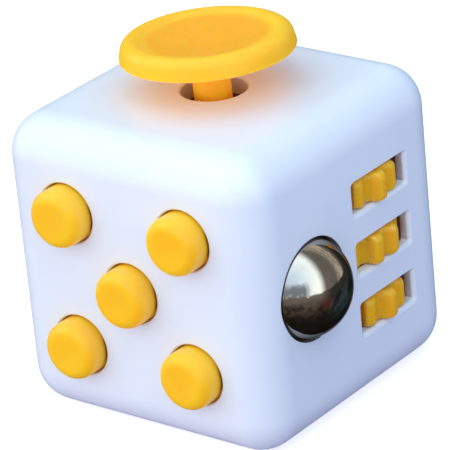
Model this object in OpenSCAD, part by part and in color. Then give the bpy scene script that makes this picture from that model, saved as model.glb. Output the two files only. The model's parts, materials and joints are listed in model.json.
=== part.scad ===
// Fidget cube. A white shell carries a different thing to do on each face: five push
// buttons (front), a pressing ball and three gears (right), a joystick (top), a flip
// switch (back), a spinning dial (left) and a worry dish in the base cover (bottom).
// X is right, Y is back and Z is up. The origin is the centre of the underside.

/* [Cube] */
// Edge length of the cube
cube_edge = 33; // [33:0.5:34]
// Radius of the rounded edges and corners
edge_r = 4.5; // [4:0.1:4.8]
// Wall thickness of the shell
wall = 2; // [1.9:0.05:2.1]

/* [Buttons] */
// Radius of a button's cap
button_r = 3.15; // [2.8:0.05:3.2]
// Height of a button above the face
button_proud = 2.5; // [1.5:0.1:3]
// Distance of the corner buttons from the face's centre, along each side
button_offset = 7.5; // [7.3:0.1:7.6]
// How far a button travels when pressed
button_travel = 0.9; // [0.5:0.05:0.9]

/* [Joystick] */
// Radius of the thumb cap at its lower lip
cap_r = 9.25; // [8:0.05:10]
// Height of the cap's underside above the top face
cap_lift = 3.75; // [3.5:0.05:4.5]
// Thickness of the cap at its crest
cap_t = 2.25; // [2.2:0.05:3]
// Radius of the stem
stem_r = 2; // [1.8:0.05:2.1]
// Radius of the hole in the top face
stick_hole_r = 3.5; // [3.5:0.05:4]
// Depth of the tilting centre below the top face
pivot_depth = 7; // [6.8:0.1:7.2]
// Lean of the stick at rest, towards the back
lean_back = 1.2; // [0:0.1:3]
// Lean of the stick at rest, towards the left
lean_left = 2.6; // [0:0.1:3]

/* [Ball] */
// Radius of the steel ball
ball_r = 5.55; // [5.4:0.05:5.6]
// Height of the ball above the face
ball_proud = 3.65; // [3.6:0.05:3.8]
// Distance of the ball from the face's centre, towards the front
ball_offset = 7.3; // [7.3:0.05:7.5]
// Height of the ball above the face's centre
ball_rise = 0.15; // [0:0.05:0.2]

/* [Gears] */
// Number of teeth on a gear
gear_teeth = 10; // [8:1:12]
// Radius over the teeth
gear_tip_r = 5.3; // [5.2:0.02:5.32]
// Radius between the teeth
gear_root_r = 4.3; // [4:0.05:4.5]
// Thickness of a gear at its teeth
gear_t = 3.2; // [2.8:0.05:3.3]
// Height from one gear to the next
gear_pitch = 6.75; // [6.7:0.05:6.8]
// Height of the teeth above the face
gear_proud = 0.9; // [0.85:0.05:0.95]
// Distance of the gears from the face's centre, towards the back
gear_offset = 4.95; // [4.9:0.05:5]

/* [Flip switch] */
// Width of the switch
rocker_w = 8.2; // [8:0.1:8.3]
// Radius of the switch's ends about its pin
rocker_end_r = 7.4; // [7.2:0.05:7.5]
// Tilt of the switch to either side
rocker_tilt = 10; // [8:1:10]

/* [Dial] */
// Radius of the dial
dial_r = 9; // [8:0.1:9.2]
// Height of the dial above the face
dial_proud = 1.7; // [1.5:0.1:2]
// Height of the finger nub above the dial
nub_proud = 1.1; // [0.8:0.1:1.4]

/* [Worry dish] */
// Radius of the dish's mouth
dish_r = 7.5; // [6:0.1:8]
// Depth of the dish
dish_depth = 1.3; // [0.8:0.1:1.4]

/* [Hidden] */
$fn = 96;

white = [0.93, 0.94, 0.97];
yellow = [0.98, 0.78, 0.16];
steel = [0.78, 0.79, 0.81];
grey_plastic = [0.55, 0.56, 0.58];
silicone = [0.85, 0.85, 0.82];

half = cube_edge / 2;      // also the height of the cube's centre
play = 0.05;               // running clearance and the gap between resting faces
cut = 0.5;                 // how far a cutter runs past the face it opens

// Buttons and what lies behind them. Depths are measured from the face, outwards.
button_hole_r = button_r + 0.2;
button_lip = 0.2;
button_rim = 1;
flange_r = 3.9;
flange_t = 0.9;
nub_r = 1.2;
flange_back = -wall - play - flange_t;
dome_r = 2.9;
dome_h = 0.9;
backplate_face = -5.1;
backplate_t = 1.2;
backplate_half = 10.7;
nub_end = backplate_face + dome_h + play;
corner_places = [[-1, 1], [1, 1], [-1, -1], [1, -1]];
backplate_screw_places = [[-button_offset, 0], [0, button_offset], [0, -button_offset]];
boss_r = 1.8;
pilot_r = 0.6;
cup_notch_half = 4.3;
cup_notch_x = 6.9;

// Screws
screw_r = 0.7;
screw_head_r = 1.25;
screw_head_h = 0.8;

// Joystick
cap_z = cube_edge + cap_lift;
cap_lower_round = 0.35;
cap_upper_round = 1.2;
cap_draft = 0.18;          // how far the flank leans in towards the crest
cap_draft_angle = 12;
cap_crest_r = cap_r - cap_draft - cap_upper_round;
cap_dish_edge = [cap_crest_r - 0.95, cap_t - 0.35];
cap_dish_depth = 0.85;
stick_hole_lip = 0.3;
pivot_z = cube_edge - pivot_depth;
stem_foot_r = 1.6;
stem_foot_z = pivot_z - 3.1;
foot_play = 0.15;
spigot_r = 1.4;
spigot_h = 1.2;
gimbal_in_r = 2.8;
gimbal_out_r = 3.8;
gimbal_h = 2;
gimbal_pin_r = 0.5;
seat_in_r = 4.3;
seat_out_r = 5.2;
seat_flange_r = 10;
seat_flange_t = 1.4;
seat_bottom_z = stem_foot_z - 2.3;
seat_floor_t = 1;
seat_screw_pcr = 7.6;
seat_screw_angles = [90, 210, 330];

// Ball, its cup and the frame behind it. X runs out of the right-hand face.
ball_x = half + ball_proud - ball_r;
ball_z = half + ball_rise;
ball_gap = 0.1;
ball_mouth_r = ball_r - 0.08;
ball_mouth_lip = 0.1;
cup_r = 4;
cup_back_x = 8;
cup_rim_x = 10.5;
cup_stem_r = 1.2;
cup_stem_x = 3.6;
frame_x = [4.6, 5.8];
frame_y = [-9.6, 8];
frame_z = [5, 28];
frame_arm_t = 1.3;
frame_arm_half = 2.3;
frame_arm_end_x = half - wall - 0.1;
frame_peg_r = 0.6;
frame_peg_l = 0.8;
frame_notch_half = 3.4;
frame_notch_z = 20.3;
post_r = 1.6;
post_rise = 8.6;

// Gears
gear_axis_x = half + gear_proud - gear_tip_r;
gear_hub_r = 2.4;
gear_hub_h = gear_pitch - 0.25;
gear_round = 0.7;
gear_steps = 12;
axle_r = 1;
slot_w = 9.25;
slot_h = 3.6;
slot_shift = [0.1, 0.1];
slot_lip = 0.4;
slot_wall = 1.2;
middle_gear_turn = 180 / gear_teeth;

// Flip switch. Depths are measured from the back face, outwards.
rocker_pivot = -2.7;
rocker_gap = 0.3;
rocker_valley = 0.25;
rocker_under = -4.2;
rocker_nub_end = -5.05;
rocker_pin_r = 0.6;
rocker_frame_in = [rocker_w / 2 + 0.2, 7.6];
rocker_frame_out = [rocker_frame_in[0] + 1, 8.4];
rocker_floor = [-6.7, -5.9];
rocker_tab = [-4.8, -3.6];
rocker_screw_y = 10.3;

// Dial. Depths are measured from the left face, outwards.
dial_recess = 0.8;
dial_gap = 0.3;
dial_back = -dial_recess + 0.15;
dial_rim = 0.7;
nub_radius = 1.8;
nub_at = 5.6;
dial_axle_r = 1.5;
dial_boss_r = 3.4;
dial_boss_end = -4.2;
dial_clip = [-4.95, -4.45];
dial_clip_r = 3;
dial_groove_r = 1.2;

// Base cover
cover_half = 11.4;
cover_step_half = 10.75;
cover_step_z = 1.2;
cover_t = 2.4;
cover_corner_r = 2;
hook_w = 4;
hook_t = 0.9;

// ---- Placing on the faces: local Z points out of the face, local Y points up ----

module on_front() translate([0, -half, half]) rotate([90, 0, 0]) children();
module on_back() translate([0, half, half]) rotate([90, 0, 180]) children();
module on_left() translate([-half, 0, half]) rotate([90, 0, -90]) children();
module on_right() translate([half, 0, half]) rotate([90, 0, 90]) children();
module on_top() translate([0, 0, cube_edge]) children();

// ---- Shared shapes ----

function arc(center, r, from, to, steps) =
    [for (i = [0:steps]) let (a = from + (to - from) * i / steps)
        center + r * [cos(a), sin(a)]];

// A box with all its edges and corners rounded, about the cube's centre
module round_cube(size, r) {
    k = size / 2 - r;
    translate([0, 0, half]) {
        cube([size, 2 * k, 2 * k], center = true);
        cube([2 * k, size, 2 * k], center = true);
        cube([2 * k, 2 * k, size], center = true);
        for (i = [-k, k], j = [-k, k]) {
            translate([0, i, j]) rotate([0, 90, 0]) cylinder(r = r, h = 2 * k, center = true);
            translate([i, 0, j]) rotate([90, 0, 0]) cylinder(r = r, h = 2 * k, center = true);
            translate([i, j, 0]) cylinder(r = r, h = 2 * k, center = true);
        }
        for (i = [-k, k], j = [-k, k], l = [-k, k])
            translate([i, j, l]) sphere(r = r);
    }
}

// A square plate with round corners, standing on its own XY plane
module round_plate(half_width, r, h) {
    k = half_width - r;
    translate([-k, -half_width, 0]) cube([2 * k, 2 * half_width, h]);
    translate([-half_width, -k, 0]) cube([2 * half_width, 2 * k, h]);
    for (i = [-k, k], j = [-k, k]) translate([i, j, 0]) cylinder(r = r, h = h);
}

// Cutter for a round hole whose outer edge is rounded
module lipped_hole(r, lip, depth)
    rotate_extrude()
        polygon(concat([[0, cut], [r + lip, cut]],
                       arc([r + lip, -lip], lip, 90, 180, 4),
                       [[r, -depth], [0, -depth]]));

// Cutter for a rectangular slot with a chamfered outer edge
module lipped_slot(w, h, lip, depth) {
    translate([-w / 2, -h / 2, -depth]) cube([w, h, depth + cut]);
    hull() {
        translate([-w / 2, -h / 2, -lip]) cube([w, h, lip + cut]);
        translate([-w / 2 - lip, -h / 2 - lip, 0]) cube([w + 2 * lip, h + 2 * lip, cut]);
    }
}

// Pan-head screw whose head sits on Z = 0 and whose shank points along +Z
module screw(length) difference() {
    union() {
        translate([0, 0, -screw_head_h]) cylinder(r = screw_head_r, h = screw_head_h);
        cylinder(r = screw_r - play, h = length);
    }
    for (a = [0, 90]) rotate([0, 0, a])
        translate([-0.8, -0.15, -screw_head_h - cut]) cube([1.6, 0.3, 0.4 + cut]);
}

// Screw whose shank narrows to its pilot hole after passing a plate
module screw_in_pilot(plate_t, grip) {
    screw(plate_t);
    translate([0, 0, plate_t - cut]) cylinder(r = pilot_r, h = grip + cut);
}

// Round-wire coil spring between Z = 0 and Z = h, as one closed sweep
module coil(r, wire_r, h, turns) {
    sides = 6;
    rings = turns * 16;
    climb = h - 2 * wire_r;
    points = [for (i = [0:rings], j = [0:sides - 1])
        let (t = 360 * turns * i / rings, a = 360 * j / sides, q = r + wire_r * cos(a))
        [q * cos(t), q * sin(t), wire_r + climb * i / rings + wire_r * sin(a)]];
    walls = [for (i = [0:rings - 1], j = [0:sides - 1]) let (k = (j + 1) % sides)
        [i * sides + j, i * sides + k, (i + 1) * sides + k, (i + 1) * sides + j]];
    ends = [[for (j = [sides - 1:-1:0]) j], [for (j = [0:sides - 1]) rings * sides + j]];
    polyhedron(points, concat(walls, ends));
}

// ---- Shell and base cover ----

module button_places() {
    children();
    for (p = corner_places) translate(button_offset * p) children();
}

module shell_bosses() {
    on_front() for (p = backplate_screw_places)
        translate([p[0], p[1], backplate_face]) cylinder(r = boss_r, h = -backplate_face - 1);
    on_right() for (s = [-1, 1])
        translate([-ball_offset, ball_rise + s * post_rise, frame_x[1] - half])
            cylinder(r = post_r, h = half - frame_x[1] - 1);
    on_back() for (s = [-1, 1])
        translate([0, s * rocker_screw_y, rocker_tab[1]])
            cylinder(r = boss_r, h = -rocker_tab[1] - 1);
    on_left() translate([0, 0, dial_boss_end]) cylinder(r = dial_boss_r, h = -dial_boss_end - 1);
}

module shell_pilot_holes() {
    on_front() for (p = backplate_screw_places)
        translate([p[0], p[1], backplate_face - cut]) cylinder(r = pilot_r, h = 3.5 + cut);
    on_right() for (s = [-1, 1])
        translate([-ball_offset, ball_rise + s * post_rise, frame_x[1] - half - cut])
            cylinder(r = pilot_r, h = 5 + cut);
    on_back() for (s = [-1, 1])
        translate([0, s * rocker_screw_y, rocker_tab[1] - cut]) cylinder(r = pilot_r, h = 2.6 + cut);
    on_top() for (a = seat_screw_angles) rotate([0, 0, a])
        translate([seat_screw_pcr, 0, -wall - cut]) cylinder(r = pilot_r, h = 1.4 + cut);
}

module ball_socket() on_right() translate([-ball_offset, ball_rise, 0]) {
    translate([0, 0, ball_x - half]) sphere(r = ball_r + ball_gap);
    translate([0, 0, ball_x - half - 1]) cylinder(r = ball_mouth_r, h = 4);
    lipped_hole(ball_mouth_r, ball_mouth_lip, 0.5);
}

module gear_slots() {
    on_right() {
        for (i = [-1:1])
            translate([gear_offset + slot_shift[0], i * gear_pitch + slot_shift[1], 0])
                lipped_slot(slot_w, slot_h, slot_lip, wall + cut);
        translate([gear_offset - 6, -gear_pitch - 3, -wall - cut])
            cube([12, 2 * gear_pitch + 6, wall + cut - slot_wall]);
        for (z = [frame_z[0] + frame_arm_t / 2, frame_z[1] - frame_arm_t / 2])
            translate([gear_offset, z - half, -wall - cut])
                cylinder(r = frame_peg_r + play, h = frame_peg_l + cut);
    }
}

module cover_opening() translate([0, 0, -cut]) {
    round_plate(cover_half + 0.1, cover_corner_r, cover_step_z + play + cut);
    round_plate(cover_step_half + 0.15, cover_corner_r, wall + 2 * cut);
}

module body_shell() color(white) difference() {
    union() {
        difference() {
            round_cube(cube_edge, edge_r);
            round_cube(cube_edge - 2 * wall, edge_r - wall);
        }
        shell_bosses();
    }
    shell_pilot_holes();
    on_front() button_places() lipped_hole(button_hole_r, button_lip, wall + cut);
    on_top() lipped_hole(stick_hole_r, stick_hole_lip, wall + cut);
    ball_socket();
    gear_slots();
    on_back() lipped_slot(rocker_w + 0.4, 2 * rocker_end_r + 0.5, 0.3, wall + cut);
    on_left() {
        translate([0, 0, -dial_recess]) cylinder(r = dial_r + dial_gap, h = dial_recess + cut);
        translate([0, 0, dial_boss_end - cut])
            cylinder(r = dial_axle_r + play, h = cut - dial_boss_end + cut);
    }
    cover_opening();
}

module cover_hook() {
    translate([-hook_w / 2, cover_step_half - hook_t, cover_t - 0.4]) cube([hook_w, hook_t, 2]);
    translate([-hook_w / 2, 0, 0]) rotate([90, 0, 90]) linear_extrude(hook_w)
        polygon([[cover_step_half - 0.4, wall + 0.1], [cover_step_half + 0.8, wall + 0.1],
                 [cover_step_half - 0.4, wall + 2]]);
}

module base_cover() color(white) difference() {
    dish_sphere_r = (pow(dish_r, 2) + pow(dish_depth, 2)) / (2 * dish_depth);
    union() {
        round_plate(cover_half, cover_corner_r, cover_step_z);
        round_plate(cover_step_half, cover_corner_r, cover_t);
        for (a = [0:90:270]) rotate([0, 0, a]) cover_hook();
    }
    translate([0, 0, dish_depth - dish_sphere_r]) sphere(r = dish_sphere_r, $fn = 180);
}

// ---- Buttons ----

module button(place) color(yellow) on_front() translate(button_offset * place)
    rotate_extrude()
        polygon(concat([[0, button_proud]],
                       arc([button_r - button_rim, button_proud - button_rim],
                           button_rim, 90, 0, 8),
                       [[button_r, -wall - play], [flange_r, -wall - play],
                        [flange_r, flange_back], [nub_r, flange_back],
                        [nub_r, nub_end], [0, nub_end]]));

module button_center() button([0, 0]);
module button_upper_left() button([-1, 1]);
module button_upper_right() button([1, 1]);
module button_lower_left() button([-1, -1]);
module button_lower_right() button([1, -1]);

// Thin steel snap dome that clicks
module click_dome(place) color(steel) {
    outer_r = (pow(dome_r, 2) + pow(dome_h, 2)) / (2 * dome_h);
    inner_r = outer_r - 0.15;
    centre_z = dome_h - outer_r;
    on_front() translate(button_offset * place) translate([0, 0, backplate_face + centre_z])
        rotate_extrude()
            polygon(concat(arc([0, 0], outer_r, 90, asin(-centre_z / outer_r), 8),
                           arc([0, 0], inner_r, asin(-centre_z / inner_r), 90, 8)));
}

// Soft silicone dome under a silent button
module silent_dome(place) color(silicone) on_front() translate(button_offset * place)
    translate([0, 0, backplate_face]) rotate_extrude()
        polygon([[0, dome_h], [1.3, dome_h], [2.3, 0.3], [dome_r, 0.3], [dome_r, 0],
                 [1.8, 0], [1, dome_h - 0.3], [0, dome_h - 0.3]]);

module dome_center() click_dome([0, 0]);
module dome_upper_left() click_dome([-1, 1]);
module dome_upper_right() silent_dome([1, 1]);
module dome_lower_left() silent_dome([-1, -1]);
module dome_lower_right() click_dome([1, -1]);

module button_backplate() color(grey_plastic) on_front() difference() {
    translate([-backplate_half, -backplate_half, backplate_face - backplate_t])
        cube([2 * backplate_half, 2 * backplate_half, backplate_t]);
    translate([cup_notch_x, -cup_notch_half, backplate_face - 2 * backplate_t])
        cube([backplate_half, 2 * cup_notch_half, 3 * backplate_t]);
    for (p = backplate_screw_places)
        translate([p[0], p[1], backplate_face - backplate_t - cut])
            cylinder(r = screw_r, h = backplate_t + 2 * cut);
}

module backplate_screws() color(steel) on_front() for (p = backplate_screw_places)
    translate([p[0], p[1], backplate_face - backplate_t]) screw_in_pilot(backplate_t, 3);

// ---- Joystick: built upright about its tilting centre, then leant to where it rests ----

module leant_back() translate([0, 0, pivot_z]) rotate([-lean_back, 0, 0]) children();
module leant() leant_back() rotate([0, -lean_left, 0]) translate([0, 0, -pivot_z]) children();

module joystick_cap() color(yellow) leant() translate([0, 0, cap_z]) difference() {
    rotate_extrude()
        polygon(concat([[0, 0]],
                       arc([cap_r - cap_lower_round, cap_lower_round], cap_lower_round,
                           -90, cap_draft_angle, 5),
                       arc([cap_crest_r, cap_t - cap_upper_round], cap_upper_round,
                           cap_draft_angle, 90, 8),
                       [cap_dish_edge, [0.6 * cap_dish_edge[0], cap_t - 0.7],
                        [0, cap_t - cap_dish_depth]]));
    translate([0, 0, -cut]) cylinder(r = spigot_r, h = spigot_h + cut);
}

module joystick_stem() color(yellow) leant() difference() {
    union() {
        translate([0, 0, stem_foot_z]) cylinder(r = stem_foot_r, h = 2);
        translate([0, 0, stem_foot_z + 1.8]) cylinder(r = stem_r, h = cap_z - stem_foot_z - 1.8);
        translate([0, 0, cap_z - cut]) cylinder(r = spigot_r, h = spigot_h + cut - play);
    }
    translate([0, 0, pivot_z]) rotate([90, 0, 0])
        cylinder(r = gimbal_pin_r + play, h = 3 * stem_r, center = true);
}

module gimbal_ring() color(grey_plastic) leant_back() difference() {
    cylinder(r = gimbal_out_r, h = gimbal_h, center = true);
    cylinder(r = gimbal_in_r, h = 2 * gimbal_h, center = true);
    rotate([90, 0, 0]) cylinder(r = gimbal_pin_r, h = 3 * gimbal_out_r, center = true);
    rotate([0, 90, 0]) cylinder(r = gimbal_pin_r + play, h = 3 * gimbal_out_r, center = true);
}

module gimbal_inner_pin() color(steel) leant_back() rotate([90, 0, 0])
    cylinder(r = gimbal_pin_r, h = 2 * gimbal_out_r - 0.2, center = true);

module gimbal_outer_pins() color(steel) for (s = [-1, 1]) translate([0, 0, pivot_z])
    rotate([0, s * 90, 0]) translate([0, 0, gimbal_in_r + 0.15])
        cylinder(r = gimbal_pin_r, h = seat_out_r - gimbal_in_r - 0.2);

module joystick_seat() color(grey_plastic) difference() {
    union() {
        translate([0, 0, seat_bottom_z])
            cylinder(r = seat_out_r, h = cube_edge - wall - seat_bottom_z);
        translate([0, 0, cube_edge - wall - seat_flange_t])
            cylinder(r = seat_flange_r, h = seat_flange_t);
    }
    translate([0, 0, seat_bottom_z + seat_floor_t]) cylinder(r = seat_in_r, h = cube_edge);
    translate([0, 0, pivot_z]) rotate([0, 90, 0])
        cylinder(r = gimbal_pin_r, h = 3 * seat_out_r, center = true);
    for (a = seat_screw_angles) rotate([0, 0, a])
        translate([seat_screw_pcr, 0, cube_edge / 2]) cylinder(r = screw_r, h = cube_edge);
}

module joystick_spring() color(steel) translate([0, 0, seat_bottom_z + seat_floor_t + play])
    coil(1.9, 0.2, stem_foot_z - foot_play - seat_bottom_z - seat_floor_t - play, 2);

module seat_screws() color(steel) for (a = seat_screw_angles) rotate([0, 0, a])
    translate([seat_screw_pcr, 0, cube_edge - wall - seat_flange_t])
        screw_in_pilot(seat_flange_t, 1.3);

// ---- Ball ----

module on_ball_axis() translate([0, -ball_offset, ball_z]) rotate([90, 0, 90]) children();

module steel_ball() color(steel) translate([ball_x, -ball_offset, ball_z]) sphere(r = ball_r);

module ball_cup() color(grey_plastic) difference() {
    on_ball_axis() {
        translate([0, 0, cup_back_x]) cylinder(r = cup_r, h = cup_rim_x - cup_back_x);
        translate([0, 0, cup_stem_x]) cylinder(r = cup_stem_r, h = cup_back_x - cup_stem_x + cut);
    }
    translate([ball_x, -ball_offset, ball_z]) sphere(r = ball_r + ball_gap);
}

module ball_spring() color(steel) on_ball_axis() translate([0, 0, frame_x[1] + play])
    coil(2.1, 0.2, cup_back_x - frame_x[1] - 2 * play, 3);

module roll_frame() color(grey_plastic) difference() {
    union() {
        translate([frame_x[0], frame_y[0], frame_z[0]])
            cube([frame_x[1] - frame_x[0], frame_y[1] - frame_y[0], frame_z[1] - frame_z[0]]);
        for (z = [frame_z[0], frame_z[1] - frame_arm_t]) {
            translate([frame_x[0], gear_offset - frame_arm_half, z])
                cube([frame_arm_end_x - frame_x[0], 2 * frame_arm_half, frame_arm_t]);
            translate([frame_arm_end_x - cut, gear_offset, z + frame_arm_t / 2])
                rotate([0, 90, 0]) cylinder(r = frame_peg_r, h = frame_peg_l + cut);
        }
    }
    translate([0, -frame_notch_half, frame_notch_z])
        cube([half, 2 * frame_notch_half, half]);
    on_ball_axis() {
        cylinder(r = cup_stem_r + play, h = half);
        for (s = [-1, 1]) translate([0, s * post_rise, 0]) cylinder(r = screw_r, h = half);
    }
    translate([gear_axis_x, gear_offset, 0]) cylinder(r = axle_r, h = cube_edge);
}

module roll_frame_screws() color(steel) on_ball_axis() for (s = [-1, 1])
    translate([0, s * post_rise, frame_x[0]]) screw_in_pilot(frame_x[1] - frame_x[0], 4.5);

// ---- Gears ----

// Outline radius of a gear: round-topped teeth with round valleys between them
function gear_radius(a) = let (w = (1 + cos(gear_teeth * a)) / 2, s = w * w * (3 - 2 * w))
    gear_root_r + (gear_tip_r - gear_root_r) * s;

module gear(level, turn) color(yellow)
    translate([gear_axis_x, gear_offset, half + level * gear_pitch]) difference() {
        union() {
            intersection() {
                rotate([0, 0, turn]) linear_extrude(gear_t, center = true)
                    polygon([for (i = [0:gear_teeth * gear_steps - 1])
                        let (a = 360 * i / (gear_teeth * gear_steps))
                        gear_radius(a) * [cos(a), sin(a)]]);
                rotate_extrude()
                    polygon(concat([[0, -gear_t / 2]],
                                   arc([gear_tip_r - gear_round, gear_round - gear_t / 2],
                                       gear_round + 0.01, -90, 0, 5),
                                   arc([gear_tip_r - gear_round, gear_t / 2 - gear_round],
                                       gear_round + 0.01, 0, 90, 5),
                                   [[0, gear_t / 2]]));
            }
            cylinder(r = gear_hub_r, h = gear_hub_h, center = true);
        }
        cylinder(r = axle_r + play, h = cube_edge, center = true);
    }

module gear_upper() gear(1, -3);
module gear_middle() gear(0, middle_gear_turn + 2);
module gear_lower() gear(-1, 1);

module gear_axle() color(steel) translate([gear_axis_x, gear_offset, frame_z[0]])
    cylinder(r = axle_r, h = frame_z[1] - frame_z[0]);

// ---- Flip switch ----

module rocker_at_rest() on_back() translate([0, 0, rocker_pivot]) rotate([rocker_tilt, 0, 0])
    translate([0, 0, -rocker_pivot]) children();

module rocker_switch() color(yellow) rocker_at_rest() difference() {
    rise = rocker_end_r * tan(rocker_tilt);
    intersection() {
        rotate([90, 0, 90]) linear_extrude(rocker_w, center = true)
            polygon([[-rocker_end_r, rocker_valley + rise], [0, rocker_valley],
                     [rocker_end_r, rocker_valley + rise], [rocker_end_r, rocker_under],
                     [0.7, rocker_under], [0.4, rocker_nub_end], [-0.4, rocker_nub_end],
                     [-0.7, rocker_under], [-rocker_end_r, rocker_under]]);
        translate([0, 0, rocker_pivot]) rotate([0, 90, 0])
            cylinder(r = rocker_end_r, h = 2 * rocker_w, center = true);
    }
    translate([0, 0, rocker_pivot]) rotate([0, 90, 0])
        cylinder(r = rocker_pin_r + play, h = 2 * rocker_w, center = true);
}

module rocker_pin() color(steel) on_back() translate([0, 0, rocker_pivot]) rotate([0, 90, 0])
    cylinder(r = rocker_pin_r, h = 2 * rocker_frame_out[0], center = true);

module rocker_frame() color(grey_plastic) on_back() difference() {
    frame_top = -wall - play;
    union() {
        translate([-rocker_frame_out[0], -rocker_frame_out[1], rocker_floor[0]])
            cube([2 * rocker_frame_out[0], 2 * rocker_frame_out[1], frame_top - rocker_floor[0]]);
        translate([-2, -rocker_screw_y - 2, rocker_tab[0]])
            cube([4, 2 * rocker_screw_y + 4, rocker_tab[1] - rocker_tab[0]]);
    }
    translate([-rocker_frame_in[0], -rocker_frame_in[1], rocker_floor[1]])
        cube([2 * rocker_frame_in[0], 2 * rocker_frame_in[1], wall - rocker_floor[1]]);
    translate([0, 0, rocker_pivot]) rotate([0, 90, 0])
        cylinder(r = rocker_pin_r, h = half, center = true);
    translate([-half, -rocker_pin_r, rocker_pivot]) cube([2 * half, 2 * rocker_pin_r, half]);
    for (s = [-1, 1]) translate([0, s * rocker_screw_y, -half])
        cylinder(r = screw_r, h = half);
}

// Bent strip that the switch's nub snaps over
module rocker_leaf() color(steel) on_back() rotate([90, 0, 90])
    linear_extrude(rocker_w - 3, center = true)
        polygon([[-4.4, rocker_floor[1]], [4.4, rocker_floor[1]], [4.4, rocker_floor[1] + 0.2],
                 [1.4, rocker_floor[1] + 0.2], [0.5, rocker_nub_end - 0.15],
                 [-0.5, rocker_nub_end - 0.15], [-1.4, rocker_floor[1] + 0.2],
                 [-4.4, rocker_floor[1] + 0.2]]);

module rocker_screws() color(steel) on_back() for (s = [-1, 1])
    translate([0, s * rocker_screw_y, rocker_tab[0]])
        screw_in_pilot(rocker_tab[1] - rocker_tab[0], 2.4);

// ---- Dial ----

module spin_dial() color(yellow) on_left() difference() {
    union() {
        rotate_extrude()
            polygon(concat([[0, dial_back], [dial_r, dial_back]],
                           arc([dial_r - dial_rim, dial_proud - dial_rim], dial_rim, 0, 90, 6),
                           [[0, dial_proud]]));
        translate([0, nub_at, 0]) rotate_extrude()
            polygon(concat([[0, 0], [nub_radius, 0]],
                           arc([nub_radius - 0.8, dial_proud + nub_proud - 0.8], 0.8, 0, 90, 6),
                           [[0, dial_proud + nub_proud]]));
    }
    translate([0, 0, dial_back - cut]) cylinder(r = dial_axle_r, h = 1.5 + cut);
}

module dial_axle() color(steel) on_left() difference() {
    translate([0, 0, dial_clip[0] - 0.6])
        cylinder(r = dial_axle_r, h = dial_back + 1.45 - dial_clip[0] + 0.6);
    translate([0, 0, dial_clip[0]]) difference() {
        cylinder(r = 2 * dial_axle_r, h = dial_clip[1] - dial_clip[0]);
        translate([0, 0, -cut]) cylinder(r = dial_groove_r, h = 2);
    }
}

module dial_washer() color(steel) on_left()
    translate([0, 0, dial_clip[1] + play]) difference() {
        cylinder(r = dial_clip_r - 0.2, h = dial_boss_end - dial_clip[1] - 2 * play);
        translate([0, 0, -cut]) cylinder(r = dial_axle_r + 0.1, h = 2);
    }

module dial_clip() color(steel) on_left() translate([0, 0, dial_clip[0] + 0.02]) difference() {
    cylinder(r = dial_clip_r, h = dial_clip[1] - dial_clip[0] - 0.04);
    translate([0, 0, -cut]) cylinder(r = dial_groove_r, h = 2);
    translate([-dial_groove_r, -2 * dial_clip_r, -cut]) cube([2 * dial_groove_r, 2 * dial_clip_r, 2]);
}

body_shell();
base_cover();
button_center();
button_upper_left();
button_upper_right();
button_lower_left();
button_lower_right();
dome_center();
dome_upper_left();
dome_upper_right();
dome_lower_left();
dome_lower_right();
button_backplate();
backplate_screws();
joystick_cap();
joystick_stem();
gimbal_ring();
gimbal_inner_pin();
gimbal_outer_pins();
joystick_seat();
joystick_spring();
seat_screws();
steel_ball();
ball_cup();
ball_spring();
roll_frame();
roll_frame_screws();
gear_upper();
gear_middle();
gear_lower();
gear_axle();
rocker_switch();
rocker_pin();
rocker_frame();
rocker_leaf();
rocker_screws();
spin_dial();
dial_axle();
dial_washer();
dial_clip();
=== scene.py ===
import json
import math

import bmesh
import bpy
from mathutils import Euler, Matrix, Vector

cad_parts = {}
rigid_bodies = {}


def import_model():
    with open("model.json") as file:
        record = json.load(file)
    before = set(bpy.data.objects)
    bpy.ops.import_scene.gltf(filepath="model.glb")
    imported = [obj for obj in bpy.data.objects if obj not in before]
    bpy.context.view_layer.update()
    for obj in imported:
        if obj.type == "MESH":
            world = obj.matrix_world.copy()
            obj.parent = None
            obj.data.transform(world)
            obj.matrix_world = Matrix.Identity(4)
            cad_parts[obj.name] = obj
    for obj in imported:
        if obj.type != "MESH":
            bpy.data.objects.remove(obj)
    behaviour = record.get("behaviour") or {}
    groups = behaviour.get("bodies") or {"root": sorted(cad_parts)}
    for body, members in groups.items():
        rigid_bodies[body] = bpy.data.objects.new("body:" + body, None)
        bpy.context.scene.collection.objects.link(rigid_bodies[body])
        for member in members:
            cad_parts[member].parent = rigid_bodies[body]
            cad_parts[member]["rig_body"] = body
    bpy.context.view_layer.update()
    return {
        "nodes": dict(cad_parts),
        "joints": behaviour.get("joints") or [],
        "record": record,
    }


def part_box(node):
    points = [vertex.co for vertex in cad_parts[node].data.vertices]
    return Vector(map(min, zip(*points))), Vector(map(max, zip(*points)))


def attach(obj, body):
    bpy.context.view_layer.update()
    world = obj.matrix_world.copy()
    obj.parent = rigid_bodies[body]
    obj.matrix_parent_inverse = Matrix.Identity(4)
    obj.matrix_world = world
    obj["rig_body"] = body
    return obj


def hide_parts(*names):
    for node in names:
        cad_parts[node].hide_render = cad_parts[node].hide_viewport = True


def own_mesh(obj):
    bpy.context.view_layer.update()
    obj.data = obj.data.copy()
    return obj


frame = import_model()

# The fidget cube is modelled in millimetres and scaled to metres when a piece is finished.
MM = 0.001
CUT = 0.6          # how far a cutter runs past the face it opens


def node_box(node):
    """Lowest corner, highest corner and centre of a CAD node, in millimetres."""
    low, high = (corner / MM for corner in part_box(node))
    return low, high, (low + high) / 2


SHELL_LOW, SHELL_HIGH, CENTRE = node_box("body_shell")
EDGE = SHELL_HIGH.x - SHELL_LOW.x
HALF = EDGE / 2
JOINTS = {joint["name"]: joint for joint in frame["joints"]}
SLOTS = {part["node"]: part["material_slot"] for part in frame["record"]["subparts"]}


# ---- Camera, world, lights and floor ----

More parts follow.
